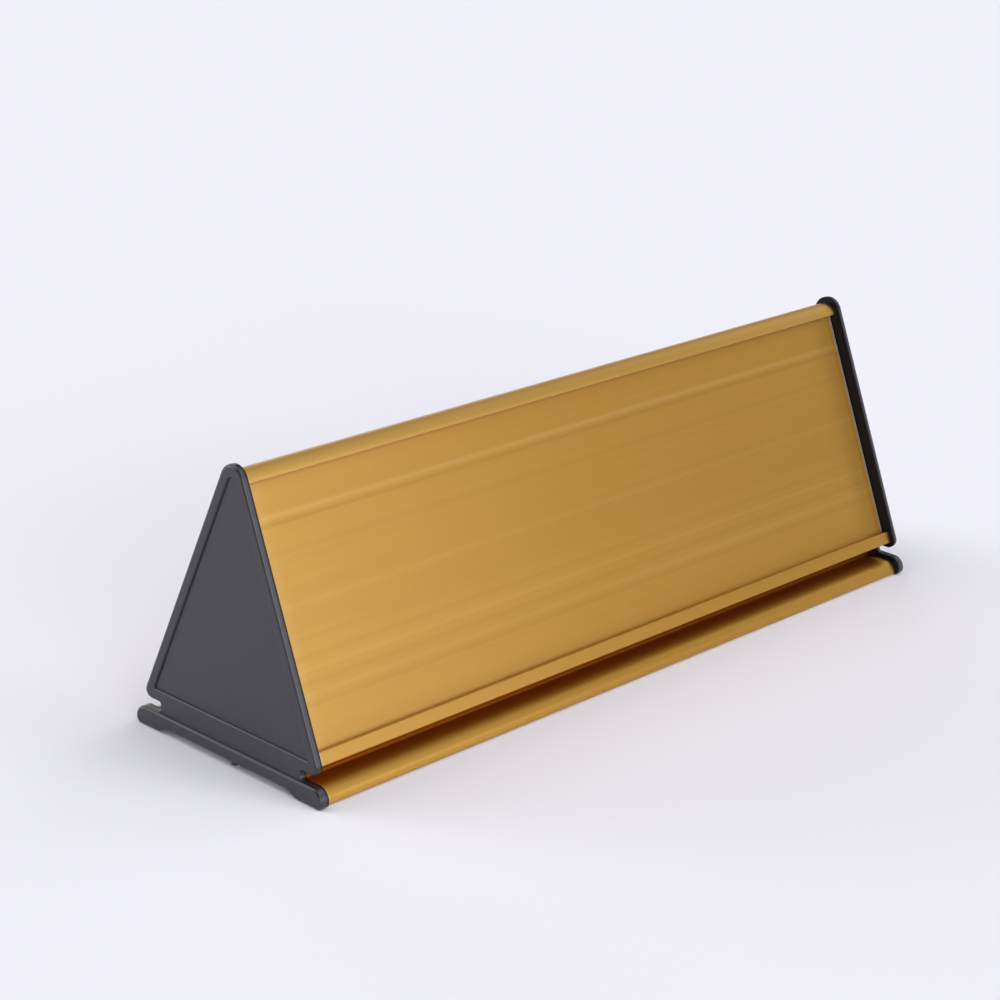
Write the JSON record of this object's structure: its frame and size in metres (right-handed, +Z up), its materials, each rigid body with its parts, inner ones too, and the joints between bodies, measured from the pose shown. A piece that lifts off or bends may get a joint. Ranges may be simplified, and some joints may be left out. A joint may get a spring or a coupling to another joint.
{
  "type": "desk name plate",
  "caption": "Free-standing desk name plate: triangular gold aluminium extrusion with slide-in name inserts on both sloped faces and black moulded end caps that plug into its ends.",
  "frame": {"origin": "on the table, under the middle of the plate", "axes": "+X along the length, towards the right end as read from the front; -Y towards the front reader; +Z up"},
  "size_m": [0.2014, 0.0582, 0.0663],
  "materials": {
    "gold_profile": "gold anodised, satin, with fine lines along the length",
    "gold_insert": "gold anodised sheet, brushed along the length",
    "charcoal_plastic": "moulded, fine even texture"
  },
  "bodies": {
    "profile": {"extruded_profile": "gold_profile"},
    "front_insert": {"front_name_insert": "gold_insert"},
    "rear_insert": {"rear_name_insert": "gold_insert"},
    "left_cap": {"left_end_cap": "charcoal_plastic"},
    "right_cap": {"right_end_cap": "charcoal_plastic"}
  },
  "joints": [
    {"name": "left_cap_pull", "type": "slide", "parent": "profile", "child": "left_cap", "axis": [-1, 0, 0], "range_m": [0, 0.1]},
    {"name": "right_cap_pull", "type": "slide", "parent": "profile", "child": "right_cap", "axis": [1, 0, 0], "range_m": [0, 0.1]},
    {"name": "front_insert_slide", "type": "slide", "parent": "profile", "child": "front_insert", "axis": [1, 0, 0], "range_m": [0, 0.09]},
    {"name": "rear_insert_slide", "type": "slide", "parent": "profile", "child": "rear_insert", "axis": [-1, 0, 0], "range_m": [0, 0.09]}
  ],
  "couplings": [
    {"joint": "front_insert_slide", "follows": "right_cap_pull", "ratio": 0.9},
    {"joint": "rear_insert_slide", "follows": "left_cap_pull", "ratio": 0.9}
  ]
}
